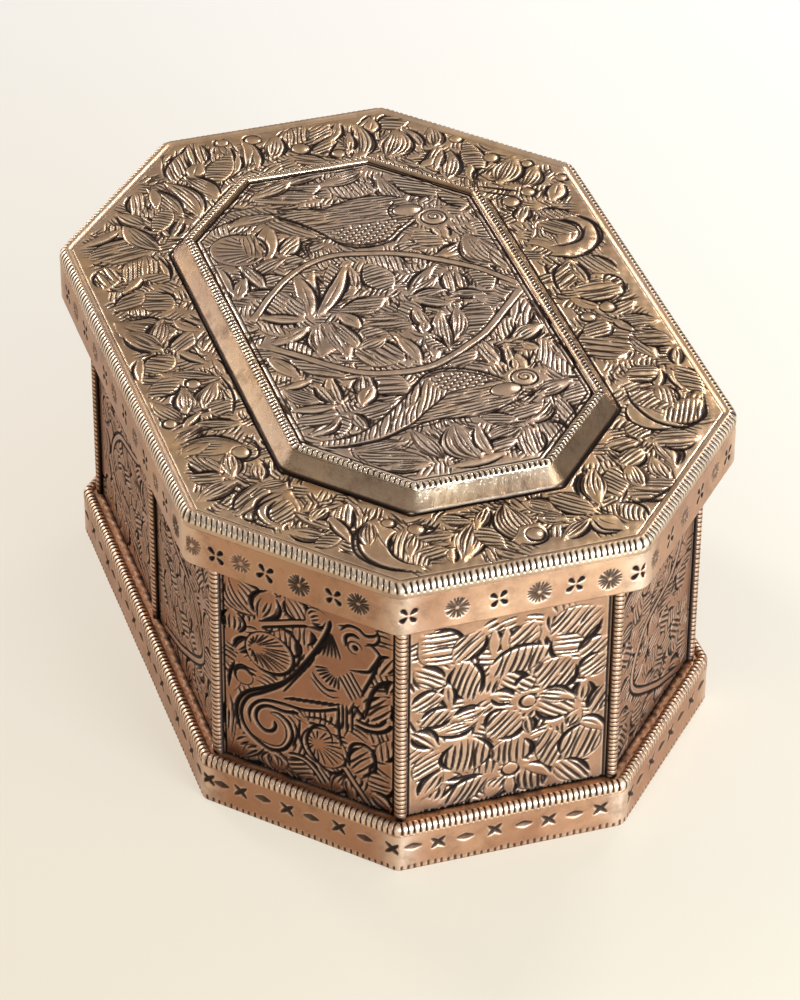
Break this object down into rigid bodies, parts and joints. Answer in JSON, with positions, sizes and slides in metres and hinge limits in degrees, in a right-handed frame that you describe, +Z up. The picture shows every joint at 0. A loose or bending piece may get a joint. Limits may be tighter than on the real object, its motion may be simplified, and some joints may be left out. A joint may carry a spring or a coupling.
{
  "type": "storage box",
  "caption": "Small eight-sided brass box with chased panels, a footed plinth and a deep lift-off lid with a raised middle.",
  "frame": {"origin": "centre of the underside", "axes": "+Z up, +X along the box towards its right end, -Y towards its front long side"},
  "size_m": [0.15, 0.1024, 0.0694],
  "materials": {
    "panels": "aged, chased",
    "lid": "aged, chased, rubbed bright",
    "mouldings": "aged, punched, rubbed bright"
  },
  "bodies": {
    "case": {"floor_plate": "panels", "plinth_band": "mouldings", "plinth_bead": "mouldings", "mouth_band": "panels", "front_left_panel": "panels", "front_right_panel": "panels", "back_left_panel": "panels", "back_right_panel": "panels", "front_right_corner_panel": "panels", "right_end_panel": "panels", "back_right_corner_panel": "panels", "back_left_corner_panel": "panels", "left_end_panel": "panels", "front_left_corner_panel": "panels", "front_post_left": "mouldings", "front_post_middle": "mouldings", "front_post_right": "mouldings", "right_post_front": "mouldings", "right_post_back": "mouldings", "back_post_right": "mouldings", "back_post_middle": "mouldings", "back_post_left": "mouldings", "left_post_back": "mouldings", "left_post_front": "mouldings"},
    "lid": {"lid_skirt": "mouldings", "lid_rim_bead": "mouldings", "lid_border_plate": "lid", "lid_bevel_frame": "lid", "lid_field_plate": "lid", "lid_field_bead": "mouldings", "lid_inner_band": "lid"}
  },
  "joints": [
    {"name": "lid_lift", "type": "slide", "parent": "case", "child": "lid", "axis": [0, 0, 1], "range_m": [0, 0.09]}
  ]
}
